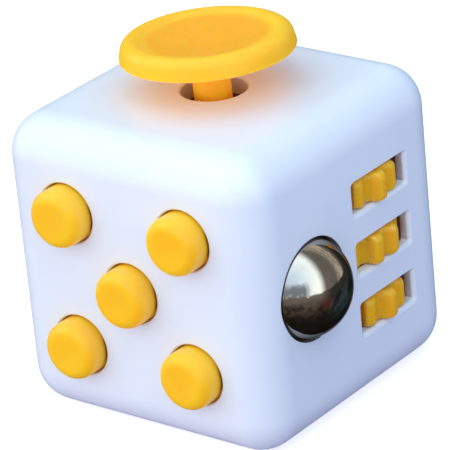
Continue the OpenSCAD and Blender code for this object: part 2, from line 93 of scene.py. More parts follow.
def camera():
    yaw, pitch, roll = (math.radians(a) for a in (39.434, 24.374, -5.567))
    distance, right_by, up_by = 380.486, -0.3117, 0.7786
    ahead = Vector((-math.sin(yaw) * math.cos(pitch), math.cos(yaw) * math.cos(pitch),
                    -math.sin(pitch)))
    level = Vector((math.cos(yaw), math.sin(yaw), 0))
    above = level.cross(ahead)
    right = level * math.cos(roll) + above * math.sin(roll)
    up = above * math.cos(roll) - level * math.sin(roll)
    place = CENTRE - ahead * distance + right * right_by + up * up_by
    data = bpy.data.cameras.new("camera")
    data.lens, data.sensor_width, data.clip_start = 290, 36, 0.01
    eye = bpy.data.objects.new("camera", data)
    bpy.context.scene.collection.objects.link(eye)
    turn = Matrix((right, up, -ahead)).transposed().to_4x4()
    eye.matrix_world = Matrix.Translation(place * MM) @ turn
    bpy.context.scene.camera = eye


def add(tree, kind, inputs=None, out=0, **settings):
    """Adds a shader node, sets or links its inputs, and returns one of its outputs."""
    made = tree.nodes.new(kind)
    for name, value in settings.items():
        setattr(made, name, value)
    for name, value in (inputs or {}).items():
        if isinstance(value, bpy.types.NodeSocket):
            tree.links.new(value, made.inputs[name])
        else:
            made.inputs[name].default_value = value
    return made.outputs[out] if made.outputs else made


def math_node(tree, operation, a, b=0.0):
    return add(tree, "ShaderNodeMath", {0: a, 1: b}, operation=operation)


def times(tree, a, b):
    return math_node(tree, "MULTIPLY", a, b)


def step(tree, value, low, high, to_low=0.0, to_high=1.0):
    """A smooth step of value from low to high."""
    return add(tree, "ShaderNodeMapRange",
               {"Value": value, "From Min": low, "From Max": high,
                "To Min": to_low, "To Max": to_high}, interpolation_type="SMOOTHSTEP")


def mix(tree, share, a, b):
    """A colour between a and b."""
    return add(tree, "ShaderNodeMix", {0: share, 6: a, 7: b}, out=2, data_type="RGBA")


def along(tree, way, axis):
    """How far each direction points along an axis."""
    return add(tree, "ShaderNodeVectorMath", {0: way, 1: axis}, out="Value",
               operation="DOT_PRODUCT")


def roughened(tree, value, clutter, share):
    """A value made uneven by a share of some clutter."""
    return math_node(tree, "ADD", value, times(tree, clutter, share))


def mirrored_sky(tree, height, back, clutter):
    """A pale sky, with hazy trees low in front."""
    low_sky = mix(tree, step(tree, back, -0.75, -0.1), (1.6, 1.8, 1.95, 1), (2.0, 2.1, 2.05, 1))
    high_sky = mix(tree, step(tree, back, -0.9, -0.1), (1.15, 1.5, 1.85, 1), (1.8, 2.0, 2.05, 1))
    sky = mix(tree, step(tree, height, 0.12, 0.62), low_sky, high_sky)
    treetops = roughened(tree, height, clutter, 0.45)
    trees = times(tree, step(tree, treetops, 0.80, 0.50), step(tree, back, -0.45, -0.70))
    return mix(tree, trees, sky, (0.34, 0.40, 0.48, 1))


def mirrored_wall(tree, way, clutter):
    """A dim wall with one band of sunlit planks."""
    patches = add(tree, "ShaderNodeTexNoise", {"Vector": way, "Scale": 1.7, "Detail": 2.0})
    plank = along(tree, way, (-0.72, 0.56, -0.40))
    spread = add(tree, "ShaderNodeCombineXYZ",
                 {0: times(tree, plank, 30), 1: times(tree, patches, 9),
                  2: times(tree, clutter, 2.5)})
    lines = add(tree, "ShaderNodeTexNoise", {"Vector": spread, "Scale": 1.0, "Detail": 4.0})
    near_plank = times(tree, step(tree, plank, -0.28, -0.02), step(tree, plank, 0.24, 0.06))
    lit = times(tree, near_plank, step(tree, lines, 0.40, 0.54))
    shade = mix(tree, clutter, (0.15, 0.14, 0.12, 1), (0.33, 0.315, 0.28, 1))
    wall = mix(tree, step(tree, plank, 0.12, 0.4), shade, (0.045, 0.04, 0.03, 1))
    return mix(tree, lit, wall, (0.95, 0.84, 0.66, 1))


def mirrored_ground(tree, way, height, back, clutter):
    """Brown earth in front, cooler ground behind and darkness below, with a red awning's spot."""
    patchy = step(tree, clutter, 0.40, 0.62)
    earth = mix(tree, patchy, (0.035, 0.026, 0.019, 1), (0.15, 0.112, 0.088, 1))
    cool = mix(tree, patchy, (0.008, 0.016, 0.022, 1), (0.055, 0.10, 0.11, 1))
    ground = mix(tree, step(tree, back, 0.1, 0.65), earth, cool)
    ground = mix(tree, step(tree, height, -0.35, -0.95), ground, (0.015, 0.013, 0.011, 1))
    awning = roughened(tree, along(tree, way, (0.95, 0.05, -0.32)), clutter, 0.05)
    return mix(tree, step(tree, awning, 0.97, 1.03), ground, (0.13, 0.03, 0.034, 1))


def mirrored_glints(tree, way, height, back):
    """1 on small bright things along the horizon, and 0 beside them."""
    specks = add(tree, "ShaderNodeTexNoise", {"Vector": way, "Scale": 13.0, "Detail": 1.0})
    level = math_node(tree, "ABSOLUTE", math_node(tree, "SUBTRACT", height, 0.03))
    glints = times(tree, step(tree, specks, 0.57, 0.66), step(tree, level, 0.12, 0.03))
    return times(tree, glints, step(tree, back, -0.2, -0.45))


def mirrored_room(tree, way, height):
    """What polished steel reflects: a pale sky in front, a dim planked wall behind, dark ground."""
    clutter = add(tree, "ShaderNodeTexNoise",
                  {"Vector": way, "Scale": 3.2, "Detail": 5.0, "Roughness": 0.62})
    back = along(tree, way, (-0.04, 0.98, -0.18))
    upper = mix(tree, step(tree, roughened(tree, back, clutter, 0.07), 0.14, -0.20),
                mirrored_wall(tree, way, clutter), mirrored_sky(tree, height, back, clutter))
    skyline = roughened(tree, height, clutter, 0.16)
    far_edge = mix(tree, step(tree, back, -0.25, 0.30), (0.27, 0.24, 0.21, 1),
                   (0.05, 0.05, 0.045, 1))
    lower = mix(tree, step(tree, skyline, -0.42, 0.06),
                mirrored_ground(tree, way, height, back, clutter), far_edge)
    whole = mix(tree, step(tree, skyline, 0.05, 0.13), lower, upper)
    return mix(tree, mirrored_glints(tree, way, height, back), whole, (1.5, 1.4, 1.25, 1))


def studio_world():
    """Even pale light, and a room that only mirror-like surfaces see."""
    world = bpy.data.worlds.new("studio")
    world.use_nodes = True
    tree = world.node_tree
    tree.nodes.clear()
    way = add(tree, "ShaderNodeTexCoord", out="Generated")
    height = add(tree, "ShaderNodeSeparateXYZ", {0: way}, out="Z")
    mirrored = add(tree, "ShaderNodeBackground",
                   {"Color": mirrored_room(tree, way, height), "Strength": 1.0})
    soft = mix(tree, step(tree, height, -0.25, 0.35), (0.66, 0.63, 0.94, 1),
               (0.61, 0.87, 1.17, 1))
    aside = step(tree, along(tree, way, (0.91, 0.39, -0.15)), 0.0, 0.95)
    soft = mix(tree, aside, soft, (0.41, 0.475, 0.70, 1))
    even = add(tree, "ShaderNodeBackground", {"Color": soft, "Strength": 1.0})
    glossy = add(tree, "ShaderNodeLightPath", out="Is Glossy Ray")
    both = add(tree, "ShaderNodeMixShader", {0: glossy, 1: even, 2: mirrored})
    add(tree, "ShaderNodeOutputWorld", {"Surface": both})
    bpy.context.scene.world = world


def area_light(name, towards, distance, size, power, color):
    """A square soft light that looks at the cube from the direction given."""
    data = bpy.data.lights.new(name, "AREA")
    data.size, data.energy, data.color = size, power, color
    lamp = bpy.data.objects.new(name, data)
    bpy.context.scene.collection.objects.link(lamp)
    way = Vector(towards).normalized()
    lamp.location = CENTRE * MM + way * distance
    lamp.rotation_mode = "QUATERNION"
    lamp.rotation_quaternion = way.to_track_quat("Z", "Y")
    lamp.visible_glossy = False


def floor():
    """A pale floor just under the cube, which can be seen through from below."""
    bm = bmesh.new()
    bmesh.ops.create_grid(bm, x_segments=8, y_segments=8, size=3)
    mesh = bpy.data.meshes.new("studio_floor")
    bm.to_mesh(mesh)
    bm.free()
    ground = bpy.data.objects.new("studio_floor", mesh)
    ground.location.z = -0.02 * MM
    bpy.context.scene.collection.objects.link(ground)
    ground.visible_glossy = ground.visible_diffuse = False
    paint = bpy.data.materials.new("studio_floor")
    paint.use_nodes = True
    tree = paint.node_tree
    grain = add(tree, "ShaderNodeTexNoise",
                {"Vector": add(tree, "ShaderNodeTexCoord", out="Object"), "Scale": 40.0})
    shader = tree.nodes["Principled BSDF"]
    tree.links.new(mix(tree, grain, (0.97, 0.955, 0.93, 1), (0.98, 0.965, 0.94, 1)),
                   shader.inputs["Base Color"])
    shader.inputs["Roughness"].default_value = 0.9
    shader.inputs["Emission Color"].default_value = (1.0, 0.97, 0.95, 1)
    shader.inputs["Emission Strength"].default_value = 0.42
    below = add(tree, "ShaderNodeNewGeometry", out="Backfacing")
    clear = add(tree, "ShaderNodeBsdfTransparent")
    seen = add(tree, "ShaderNodeMixShader", {0: below, 1: shader.outputs[0], 2: clear})
    tree.links.new(seen, tree.nodes["Material Output"].inputs["Surface"])
    mesh.materials.append(paint)


camera()
studio_world()
area_light("key", (-0.38, -0.74, 0.58), 0.8, 2.4, 13.6, (1.0, 0.84, 0.60))
area_light("fill", (0.75, -0.30, 0.60), 0.10, 0.06, 0.018, (0.80, 0.87, 1.0))
floor()
bpy.context.scene.view_settings.view_transform = "Standard"


# ---- Materials: moulded plastics, steels and silicone ----

def material(name, color, roughness, metallic=0.0, **sockets):
    """A material, its node tree, its shader and the surface's own coordinates."""
    made = bpy.data.materials.new(name)
    made.use_nodes = True
    tree = made.node_tree
    shader = tree.nodes["Principled BSDF"]
    shader.inputs["Base Color"].default_value = (*color, 1)
    shader.inputs["Roughness"].default_value = roughness
    shader.inputs["Metallic"].default_value = metallic
    for socket, value in sockets.items():
        shader.inputs[socket.replace("_", " ")].default_value = value
    return made, tree, shader, add(tree, "ShaderNodeTexCoord", out="Object")


def noise(tree, where, size, detail=2.0, roughness=0.5):
    """Cloudy noise whose features measure about size millimetres."""
    return add(tree, "ShaderNodeTexNoise",
               {"Vector": where, "Scale": 1 / (size * MM), "Detail": detail,
                "Roughness": roughness})


def bumps(tree, shader, layers):
    """Chains bumps of (height, depth in micrometres) into the shader's normal."""
    normal = None
    for height, depth in layers:
        inputs = {"Height": height, "Distance": depth * MM * MM, "Strength": 1.0}
        if normal is not None:
            inputs["Normal"] = normal
        normal = add(tree, "ShaderNodeBump", inputs)
    tree.links.new(normal, shader.inputs["Normal"])


def stretched(tree, where, scale, turn=(0.0, 0.0, 0.0)):
    return add(tree, "ShaderNodeMapping", {"Vector": where, "Scale": scale, "Rotation": turn})


def scratches(tree, where, size, turn, width=0.012):
    """Fine straight scratches: 1 on a scratch and 0 beside it."""
    lines = add(tree, "ShaderNodeTexVoronoi",
                {"Vector": stretched(tree, where, (1.0, 0.06, 1.0), turn),
                 "Scale": 1 / (size * MM)}, feature="DISTANCE_TO_EDGE")
    patches = step(tree, noise(tree, where, size * 3), 0.52, 0.66)
    return times(tree, step(tree, lines, width, 0.0), patches)


def moulded_plastic(name, light, dark, roughness, worn_and_sheen, wear=0.4, gap_shade=(0.24, 0.10, 0.045),
                    dish_shade=None, **sockets):
    """Satin ABS: cloudy colour, fine moulded grain, handling wear, and painted warm shade in
    upright gaps.

    Wear is how far the edges turn to their lighter edge colour, which is wear and, on the gears,
    partly a painted highlight. A given centre, radius and colour paint a darker, more orange patch:
    painted shade in the cap's dish.
    """
    made, tree, shader, where = material(name, light, roughness, **sockets)
    cloud = noise(tree, where, 9, 3)
    grain = noise(tree, where, 0.16, 2, 0.6)
    ripple = noise(tree, where, 2.6, 1)
    edge = step(tree, add(tree, "ShaderNodeNewGeometry", out="Pointiness"), 0.52, 0.60, 0, wear)
    tint = mix(tree, step(tree, cloud, 0.35, 0.65), (*light, 1), (*dark, 1))
    # Painted shade: a patch round the given centre turns darker and more orange.
    if dish_shade:
        centre, radius, dish_shade_colour = dish_shade
        reach = add(tree, "ShaderNodeVectorMath", {0: where, 1: centre * MM}, out="Value",
                    operation="DISTANCE")
        dish_shade_patch = step(tree, reach, (radius + 0.5) * MM, (radius - 0.5) * MM)
        tint = mix(tree, dish_shade_patch, tint, (*dish_shade_colour, 1))
    rubbed_and_sheen = mix(tree, edge, tint, (*worn_and_sheen, 1))
    # Painted shade: upright walls with little open space round them, in gaps, holes and slots, turn
    # to the warm gap colour.
    open_sky = add(tree, "ShaderNodeAmbientOcclusion", {"Distance": 3.0 * MM}, out="AO",
                   samples=8)
    level = add(tree, "ShaderNodeSeparateXYZ",
                {0: add(tree, "ShaderNodeNewGeometry", out="Normal")}, out="Z")
    upright = step(tree, math_node(tree, "ABSOLUTE", level), 0.6, 0.2)
    painted_gap_shade = times(tree, step(tree, open_sky, 0.60, 0.15, 0.0, 0.95), upright)
    tree.links.new(mix(tree, painted_gap_shade, rubbed_and_sheen, (*gap_shade, 1)), shader.inputs["Base Color"])
    rough = step(tree, noise(tree, where, 1.3, 4), 0.3, 0.7, roughness - 0.05, roughness + 0.06)
    tree.links.new(math_node(tree, "SUBTRACT", rough, times(tree, edge, 0.2)),
                   shader.inputs["Roughness"])
    bumps(tree, shader, [(ripple, 5), (grain, 3.0)])
    return made


def steel(name, color, roughness, size, grain, depth):
    """Steel with its grain drawn out where the grain's scale is below 1."""
    made, tree, shader, where = material(name, color, roughness, metallic=1.0)
    brushed = noise(tree, stretched(tree, where, grain), size, 4, 0.6)
    dulled = noise(tree, where, 1.7, 3)
    tree.links.new(mix(tree, step(tree, dulled, 0.4, 0.7), (*color, 1),
                       (*[c * 0.86 for c in color], 1)), shader.inputs["Base Color"])
    tree.links.new(step(tree, brushed, 0.25, 0.75, roughness - 0.06, roughness + 0.1),
                   shader.inputs["Roughness"])
    bumps(tree, shader, [(brushed, depth)])
    return made


def polished_steel():
    """Bearing steel: a mirror finish with faint smears and hairline scratches."""
    color = (0.52, 0.49, 0.45)
    made, tree, shader, where = material("polished_steel", color, 0.05, metallic=1.0,
                                          Specular_Tint=(0.22, 0.20, 0.18, 1))
    smear = step(tree, noise(tree, where, 2.2, 4, 0.6), 0.42, 0.72)
    hair = math_node(tree, "MAXIMUM", scratches(tree, where, 1.1, (0.2, 0.7, 0.4)),
                     scratches(tree, where, 1.3, (1.1, 0.1, 2.0)))
    tree.links.new(mix(tree, smear, (*color, 1), (0.46, 0.435, 0.40, 1)),
                   shader.inputs["Base Color"])
    rough = math_node(tree, "ADD", step(tree, smear, 0, 1, 0.035, 0.11),
                      times(tree, hair, 0.12))
    tree.links.new(rough, shader.inputs["Roughness"])
    bumps(tree, shader, [(hair, -0.4), (noise(tree, where, 3.5, 2), 1.2)])
    return made


def silicone():
    made, tree, shader, where = material(
        "silicone", (0.80, 0.79, 0.75), 0.5, Subsurface_Weight=0.4, Subsurface_Scale=0.0008)
    dust = noise(tree, where, 0.5, 3)
    tree.links.new(mix(tree, dust, (0.82, 0.81, 0.77, 1), (0.72, 0.71, 0.67, 1)),
                   shader.inputs["Base Color"])
    tree.links.new(step(tree, dust, 0.3, 0.7, 0.42, 0.6), shader.inputs["Roughness"])
    bumps(tree, shader, [(noise(tree, where, 0.12), 4)])
    return made


# White plastic keeps the default warm gap colour: painted shade in its gaps and holes.
WHITE = moulded_plastic("white_plastic", (0.79, 0.83, 0.87), (0.77, 0.815, 0.86), 0.36,
                        (0.84, 0.87, 0.90), wear=0.0, Specular_IOR_Level=0.5)


def yellow_plastic(name, glow, roughness=0.42, light=(0.93, 0.57, 0.022),
                   dark=(0.92, 0.54, 0.019), worn_and_sheen=(0.97, 0.66, 0.08), dish_shade=None):
    """Yellow ABS that light soaks into: a painted orange glow for what comes out again, painted
    warm shade in gaps.
    """
    return moulded_plastic(
        name, light, dark, roughness, worn_and_sheen, gap_shade=(0.16, 0.035, 0.004), dish_shade=dish_shade,
        Subsurface_Weight=1.0, Subsurface_Scale=0.0022, Subsurface_Radius=(1.0, 0.35, 0.04),
        Emission_Color=(1.0, 0.22, 0.0, 1), Emission_Strength=glow)


YELLOW = yellow_plastic("yellow_plastic", 0.08, 0.40)
# Painted shade: a darker copy of the yellow for the gears sunk in their slots. Their lighter edge
# colour is wear and partly a painted highlight on the tooth tops.
SHADED_GEAR_YELLOW = yellow_plastic("shaded_gear_yellow_plastic", 0.05, 0.30, (0.82, 0.47, 0.02),
                             (0.78, 0.43, 0.018), (1.0, 0.72, 0.16))
# Painted light: the stem and the cap's underside glow more, as if lit by light coming through the
# cap.
LIT_STEM_YELLOW = yellow_plastic("lit_stem_yellow_plastic", 0.20)
LIT_YELLOW = yellow_plastic("lit_through_yellow_plastic", 0.36)
# Painted shade and light on the thumb cap: its dish is painted darker and more orange, and it glows
# a little more than the buttons.
_, CAP_HIGH, CAP_CENTRE = node_box("joystick_cap")
DISH_SHADE_CENTRE = Vector((CAP_CENTRE.x, CAP_CENTRE.y, CAP_HIGH.z - 1.4))
DISH_SHADED_YELLOW = yellow_plastic("dish_shaded_yellow_plastic", 0.12, 0.40, worn_and_sheen=(0.98, 0.70, 0.14),
                                dish_shade=(DISH_SHADE_CENTRE, 6.4, (0.91, 0.44, 0.016)))
MATERIALS = {
    "white_plastic": WHITE,
    "yellow_plastic": YELLOW,
    "grey_plastic": moulded_plastic("grey_plastic", (0.21, 0.215, 0.225), (0.18, 0.185, 0.19),
                                    0.5, (0.32, 0.32, 0.33)),
    "polished_steel": polished_steel(),
    "spring_steel": steel("spring_steel", (0.60, 0.61, 0.63), 0.28, 0.2, (1, 1, 0.2), 1.5),
    "pin_steel": steel("pin_steel", (0.68, 0.69, 0.71), 0.22, 0.12, (0.15, 1, 1), 1.0),
    "screw_steel": steel("screw_steel", (0.56, 0.58, 0.60), 0.34, 0.3, (1, 1, 1), 2.5),
    "silicone": silicone(),
}


# ---- Shape helpers, in millimetres ----

def side_face(x, y, spin):
    """A side face's frame: local X to its right, local Y up and local Z out of it."""
    return Matrix.Translation((x, y, CENTRE.z)) @ Euler((math.pi / 2, 0, spin)).to_matrix().to_4x4()


ON_FACE = {
    "front": side_face(0, -HALF, 0),
    "back": side_face(0, HALF, math.pi),
    "left": side_face(-HALF, 0, -math.pi / 2),
    "right": side_face(HALF, 0, math.pi / 2),
    "top": Matrix.Translation((0, 0, SHELL_HIGH.z)),
}


def on_face(face, x=0.0, y=0.0, z=0.0):
    return ON_FACE[face] @ Matrix.Translation((x, y, z))


def sphere_radius(radius, rise):
    """Radius of the sphere whose cap has this radius and rise."""
    return (radius ** 2 + rise ** 2) / (2 * rise)


def arc(x, y, radius, start, end, steps=8):
    """Points along a circular arc, in degrees."""
    return [(x + radius * math.cos(math.radians(start + (end - start) * i / steps)),
             y + radius * math.sin(math.radians(start + (end - start) * i / steps)))
            for i in range(steps + 1)]


def rounded_rectangle(width, height, radius, steps=6):
    points = []
    for i, (sx, sy) in enumerate([(1, 1), (-1, 1), (-1, -1), (1, -1)]):
        points += arc(sx * (width / 2 - radius), sy * (height / 2 - radius), radius,
                      90 * i, 90 * i + 90, steps)
    return points


def rounded_square(size, z, radius=2.0, steps=6):
    return [(x, y, z) for x, y in rounded_rectangle(size, size, radius, steps)]


def loft(rings, around=False):
    """A closed mesh through rings of equally many points. Around joins the last to the first."""
    bm = bmesh.new()
    made = [[bm.verts.new(point) for point in ring] for ring in rings]
    count = len(made[0])
    for first, second in zip(made, made[1:] + (made[:1] if around else [])):
        for i in range(count):
            j = (i + 1) % count
            bm.faces.new((first[i], first[j], second[j], second[i]))
    if not around:
        bm.faces.new(made[0][::-1])
        bm.faces.new(made[-1])
    bmesh.ops.remove_doubles(bm, verts=bm.verts, dist=1e-5)
    bmesh.ops.recalc_face_normals(bm, faces=bm.faces)
    return bm


def lathe(profile, steps=96):
    """A body of revolution about local Z from (radius, height) points."""
    return loft([[(r * math.cos(math.tau * i / steps), r * math.sin(math.tau * i / steps), z)
                  for i in range(steps)] for r, z in profile])


def block(low, high):
    bm = bmesh.new()
    bmesh.ops.create_cube(bm, size=1)
    low, high = Vector(low), Vector(high)
    bm.transform(Matrix.Translation((low + high) / 2) @ Matrix.Diagonal((*(high - low), 1)))
    return bm


def round_cube(size, radius, segments=14):
    bm = bmesh.new()
    bmesh.ops.create_cube(bm, size=size)
    bmesh.ops.bevel(bm, geom=bm.edges, offset=radius, offset_type="OFFSET", segments=segments,
                    profile=0.5, affect="EDGES")
    bm.transform(Matrix.Translation(CENTRE))
    return bm


def ball(radius, centre, cuts=32):
    """A sphere made from a finely cut cube, with no poles."""
    bm = bmesh.new()
    bmesh.ops.create_cube(bm, size=2)
    bmesh.ops.subdivide_edges(bm, edges=bm.edges, cuts=cuts, use_grid_fill=True)
    for vert in bm.verts:
        spread = Vector(math.tan(c * math.pi / 4) for c in vert.co)
        vert.co = Vector(centre) + spread.normalized() * radius
    return bm


def round_mouth(radius, lip, depth):
    """Cutter for a round hole with a softly rounded mouth."""
    return lathe([(0, CUT), (radius + lip, CUT)]
                 + arc(radius + lip, -lip, lip, 90, 180)[:-1] + [(radius, -depth), (0, -depth)])


def slot_mouth(width, height, corner, lip, depth, top_lip=None):
    """Cutter for a slot with rounded corners and a softly rounded mouth."""
    sections = [(0.0, -depth), (0.0, -lip)]
    sections += [(lip + x, z) for x, z in arc(0, -lip, lip, 180, 90)[1:]] + [(lip, CUT)]
    above = (top_lip or lip) / lip
    return loft([[(x, y - out * (1 - above) / 2, z) for x, y in rounded_rectangle(
        width + 2 * out, height + out * (1 + above), corner + out)] for out, z in sections])


def as_object(bm, name, place=Matrix.Identity(4)):
    bm.transform(place)
    mesh = bpy.data.meshes.new(name)
    bm.to_mesh(mesh)
    bm.free()
    made = bpy.data.objects.new(name, mesh)
    bpy.context.scene.collection.objects.link(made)
    return made


def combine(solid, tools, operation="DIFFERENCE"):
    """Cuts tools from a solid, or joins them to it. All are bmeshes, and a new one is returned."""
    target = as_object(solid, "solid")
    helpers = [as_object(tool, "tool") for tool in tools]
    for helper in helpers:
        step_made = target.modifiers.new("combine", "BOOLEAN")
        step_made.operation, step_made.solver, step_made.object = operation, "EXACT", helper
    bpy.context.view_layer.update()
    shaped = target.evaluated_get(bpy.context.evaluated_depsgraph_get())
    bm = bmesh.new()
    bm.from_mesh(shaped.to_mesh())
    shaped.to_mesh_clear()
    for used in [target, *helpers]:
        mesh = used.data
        bpy.data.objects.remove(used)
        bpy.data.meshes.remove(mesh)
    return bm


def pin_bore(pin, axis, place):
    """Cutter for the bore that a pin runs in: along local Z, turned a quarter about the axis."""
    low, high, _ = node_box(pin)
    radius, half = min(high - low) / 2 + PLAY, max(high - low) / 2 + CUT
    bore = lathe([(0, -half), (radius, -half), (radius, half), (0, half)], 48)
    bore.transform(Matrix.Translation(place) @ Matrix.Rotation(math.pi / 2, 4, axis))
    return bore


def finish_piece(name, bm, node, slot, sharp=32, finish=None, beneath=None):
    """Scales a shape to metres, smooths it and puts it in the place of its CAD node.

    Finish is its material and beneath that of its underside, where they aren't the slot's own.
    """
    for edge in bm.edges:
        edge.smooth = len(edge.link_faces) == 2 and edge.calc_face_angle(0) < math.radians(sharp)
    for face in bm.faces:
        face.smooth = True
    piece = as_object(bm, name, Matrix.Scale(MM, 4))
    piece.data.materials.append(finish or MATERIALS[slot])
    if beneath:
        piece.data.materials.append(beneath)
        for face in piece.data.polygons:
            face.material_index = int(face.normal.z < -0.5)
    even = piece.modifiers.new("even_normals", "WEIGHTED_NORMAL")
    even.keep_sharp, even.weight = True, 100
    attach(piece, frame["nodes"][node]["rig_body"])
    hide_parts(node)
    return piece


# ---- Shell and base cover ----

EDGE_R, WALL, PLAY = 4.5, 2.0, 0.05
BUTTONS = ["center", "upper_left", "upper_right", "lower_left", "lower_right"]
GEARS = ["upper", "middle", "lower"]
BUTTON_HOLE_R, STICK_HOLE_R, AXLE_HOLE_R = 3.35, 3.5, 1.55
BALL_GAP, MOUTH_INSIDE = 0.3, 0.08         # round the ball, and how far its mouth holds it in
SLOT_W, SLOT_H, SLOT_SHIFT = 9.25, 3.6, 0.1
POCKET_HALF_W, POCKET_TOP = 6, 1.2         # room for the gears behind their slots
SWITCH_HOLE_W, SWITCH_HOLE_H = 8.6, 15.3
DIAL_SEAT_R, DIAL_SEAT_DEPTH = 9.3, 0.8
COVER_T, COVER_PLUG = 1.2, 21.5            # the base cover's flange, and the plug behind it


def shell():
    tools = [round_cube(EDGE - 2 * WALL, EDGE_R - WALL, 6)]

    def cut(tool, face, x=0.0, y=0.0):
        tool.transform(on_face(face, x, y))
        tools.append(tool)

    for name in BUTTONS:
        _, _, middle = node_box("button_" + name)
        cut(round_mouth(BUTTON_HOLE_R, 0.2, WALL + CUT), "front", middle.x, middle.z - CENTRE.z)
    cut(round_mouth(STICK_HOLE_R, 0.3, WALL + CUT), "top")
    low, high, middle = node_box("steel_ball")
    radius = (high.z - low.z) / 2
    tools.append(ball(radius + BALL_GAP, middle, 20))
    cut(round_mouth(radius - MOUTH_INSIDE, 0.1, WALL), "right", middle.y, middle.z - CENTRE.z)
    for name in GEARS:
        _, _, middle = node_box("gear_" + name)
        cut(slot_mouth(SLOT_W, SLOT_H, 0.25, 0.5, WALL + CUT, top_lip=0.12), "right",
            middle.y + SLOT_SHIFT, middle.z - CENTRE.z + SLOT_SHIFT)
    _, highest, _ = node_box("gear_upper")
    _, _, middle = node_box("gear_middle")
    reach = highest.z - CENTRE.z + 0.2
    cut(block((-POCKET_HALF_W, -reach, -WALL - CUT), (POCKET_HALF_W, reach, -POCKET_TOP)),
        "right", middle.y)
    cut(slot_mouth(SWITCH_HOLE_W, SWITCH_HOLE_H, 0.5, 0.3, WALL + CUT), "back")
    cut(round_mouth(DIAL_SEAT_R, 0.2, DIAL_SEAT_DEPTH), "left")
    cut(lathe([(0, CUT), (AXLE_HOLE_R, CUT), (AXLE_HOLE_R, -5), (0, -5)], 48), "left")
    low, high, _ = node_box("base_cover")
    across = high.x - low.x + 0.2
    tools.append(loft([rounded_square(across + 0.3, -CUT), rounded_square(across + 0.3, 0.0),
                       rounded_square(across, 0.15), rounded_square(across, COVER_T + PLAY)]))
    tools.append(loft([rounded_square(COVER_PLUG + 0.3, z) for z in (-CUT, WALL + CUT)]))
    finish_piece("cube_shell", combine(round_cube(EDGE, EDGE_R), tools), "body_shell",
                 "white_plastic")


def base_cover():
    low, high, _ = node_box("base_cover")
    across = high.x - low.x
    dish_r, dish_depth, soft, steps = 7.5, 1.3, 0.12, 24
    sphere_r, count = sphere_radius(dish_r, dish_depth), 4 * (steps + 1)

    def circle(radius, z):
        return [(radius * math.cos(math.tau * (i + 0.5) / count),
                 radius * math.sin(math.tau * (i + 0.5) / count), z) for i in range(count)]

    def square(size, z, radius=2.0):
        return rounded_square(size, z, radius, steps)

    rings = [square(COVER_PLUG, 2 * COVER_T), square(COVER_PLUG, COVER_T),
             square(across, COVER_T)]
    for out, z in arc(-soft, soft, soft, 0, -90, 4):
        rings.append(square(across + 2 * out, z, 2.0 + out))
    for out, z in arc(0.1, soft, soft, -90, -20, 4):
        rings.append(circle(dish_r - out + 0.1, z))
    for i in range(1, 16):
        radius = (dish_r - 0.15) * (1 - i / 15)
        rings.append(circle(radius, dish_depth - sphere_r
                            + math.sqrt(sphere_r ** 2 - radius ** 2)))
    finish_piece("worry_dish_cover", loft(rings), "base_cover", "white_plastic")


# ---- Buttons and their domes ----

def flatten(piece):
    """Gives a piece its own copy of its mesh."""
    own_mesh(piece)


def button(name):
    low, _, middle = node_box("button_" + name)
    radius, proud, rim, crown = 3.15, SHELL_LOW.y - low.y, 1.1, 0.13
    flange_r, flange_z, nub_r, nub_z = 3.9, (-2.05, -2.95), 1.2, -4.15
    crest = radius - rim
    profile = [(0, proud - crown)]
    profile += [(crest * i / 8, proud - crown * (1 - (i / 8) ** 2) ** 1.5) for i in range(1, 8)]
    profile += arc(crest, proud - rim, rim, 90, 0, 14)
    profile += [(radius, flange_z[0]), (flange_r, flange_z[0]), (flange_r, flange_z[1]),
                (nub_r, flange_z[1]), (nub_r, nub_z), (0, nub_z)]
    bm = lathe(profile)
    bm.transform(on_face("front", middle.x, middle.z - CENTRE.z))
    finish_piece("push_button_" + name, bm, "button_" + name, "yellow_plastic")


def dome(name):
    """A soft silicone dome, or a thin steel one that clicks."""
    low, high, middle = node_box("dome_" + name)
    slot, radius, rise = SLOTS["dome_" + name], (high.x - low.x) / 2, high.y - low.y
    if slot == "silicone":
        skirt = 0.3
        profile = [(0, rise), (1.3, rise), (2.3, skirt), (radius, skirt), (radius, 0), (1.8, 0),
                   (1.0, rise - skirt), (0, rise - skirt)]
    else:
        outer = sphere_radius(radius, rise)
        inner, centre = outer - 0.15, rise - outer
        profile = arc(0, centre, outer, 90, math.degrees(math.asin(-centre / outer)), 12)
        profile += arc(0, centre, inner, math.degrees(math.asin(-centre / inner)), 90, 12)
    bm = lathe(profile, 64)
    bm.transform(on_face("front", middle.x, middle.z - CENTRE.z, SHELL_LOW.y - high.y))
    piece = finish_piece("click_dome_" + name, bm, "dome_" + name, slot)
    flatten(piece)


# ---- Joystick ----

